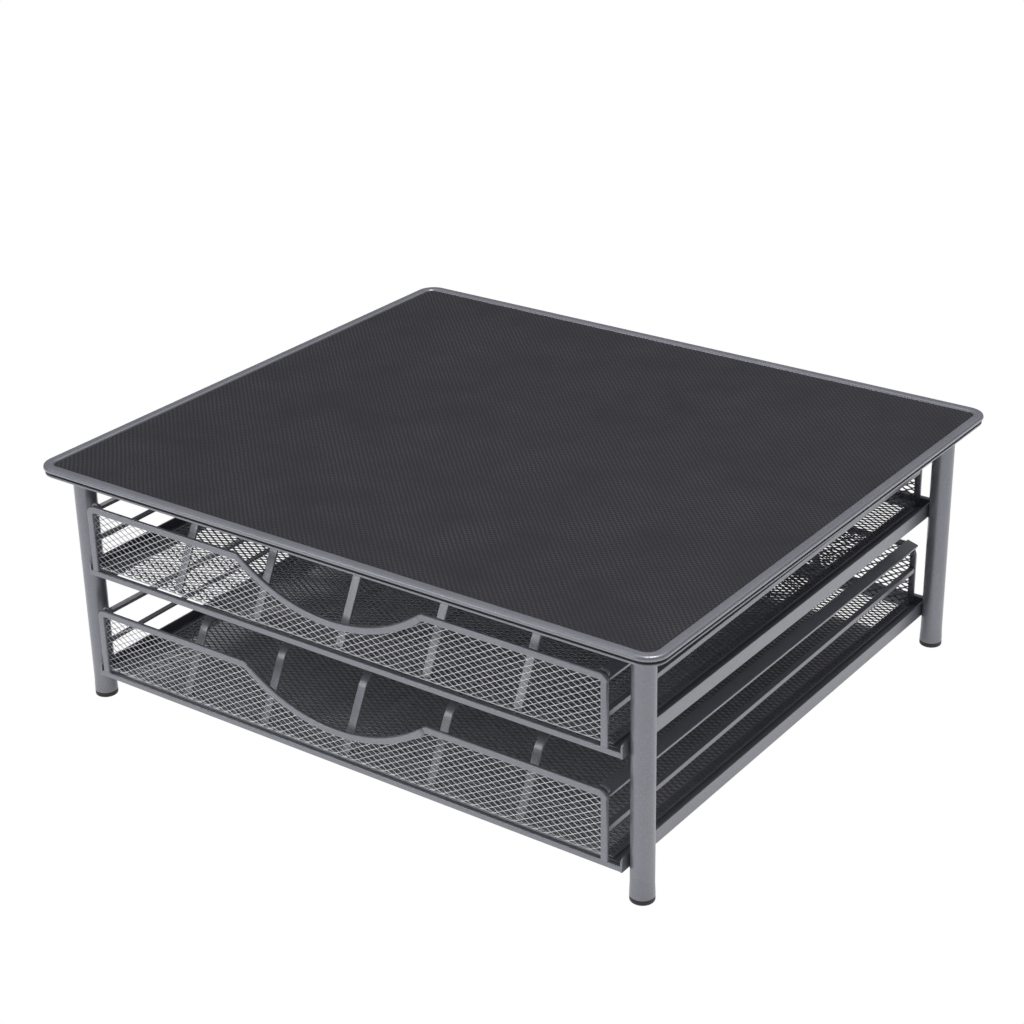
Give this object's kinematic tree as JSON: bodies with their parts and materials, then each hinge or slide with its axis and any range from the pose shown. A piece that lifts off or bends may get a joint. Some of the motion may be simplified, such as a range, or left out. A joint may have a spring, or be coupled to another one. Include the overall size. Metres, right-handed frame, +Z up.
{
  "type": "coffee pod drawer stand",
  "caption": "Low steel stand with a matted top for a coffee machine and stacked pull-out wire mesh drawers with divider rails for coffee pods.",
  "frame": {"origin": "on the counter, under the centre of the stand's outline", "axes": "+X to the right seen from the front, +Y to the back, +Z up; the drawers pull out along -Y"},
  "size_m": [0.381, 0.3366, 0.1384],
  "materials": {
    "stand_frame": "satin grey powder coat on mild steel",
    "drawer_frame": "satin grey powder coat on mild steel",
    "dividers": "satin grey powder coat on mild steel strip",
    "mesh": "satin grey powder coat on expanded steel mesh",
    "mat": "matt charcoal non-slip mat with a fine embossed grain",
    "foot_caps": "black moulded plastic, slightly glossy"
  },
  "bodies": {
    "stand": {"top_rim": "stand_frame", "deck_sheet": "stand_frame", "top_mat": "mat", "front_left_leg": "stand_frame", "front_right_leg": "stand_frame", "back_left_leg": "stand_frame", "back_right_leg": "stand_frame", "front_left_foot_cap": "foot_caps", "front_right_foot_cap": "foot_caps", "back_left_foot_cap": "foot_caps", "back_right_foot_cap": "foot_caps", "lower_left_side_rail": "stand_frame", "lower_right_side_rail": "stand_frame", "upper_left_side_rail": "stand_frame", "upper_right_side_rail": "stand_frame", "lower_front_bar": "stand_frame", "upper_front_bar": "stand_frame", "lower_back_bar": "stand_frame", "upper_back_bar": "stand_frame"},
    "lower_drawer": {"lower_front_frame": "drawer_frame", "lower_front_mesh": "mesh", "lower_floor_mesh": "mesh", "lower_back_mesh": "mesh", "lower_back_frame": "drawer_frame", "lower_left_top_rail": "drawer_frame", "lower_right_top_rail": "drawer_frame", "lower_left_mid_rail": "drawer_frame", "lower_right_mid_rail": "drawer_frame", "lower_divider_1": "dividers", "lower_divider_2": "dividers", "lower_divider_3": "dividers", "lower_divider_4": "dividers", "lower_divider_5": "dividers"},
    "upper_drawer": {"upper_front_frame": "drawer_frame", "upper_front_mesh": "mesh", "upper_floor_mesh": "mesh", "upper_back_mesh": "mesh", "upper_back_frame": "drawer_frame", "upper_left_top_rail": "drawer_frame", "upper_right_top_rail": "drawer_frame", "upper_left_mid_rail": "drawer_frame", "upper_right_mid_rail": "drawer_frame", "upper_divider_1": "dividers", "upper_divider_2": "dividers", "upper_divider_3": "dividers", "upper_divider_4": "dividers", "upper_divider_5": "dividers"}
  },
  "joints": [
    {"name": "upper_drawer_slide", "type": "slide", "parent": "stand", "child": "upper_drawer", "axis": [0, -1, 0], "range_m": [0, 0.28]},
    {"name": "lower_drawer_slide", "type": "slide", "parent": "stand", "child": "lower_drawer", "axis": [0, -1, 0], "range_m": [0, 0.28]}
  ]
}
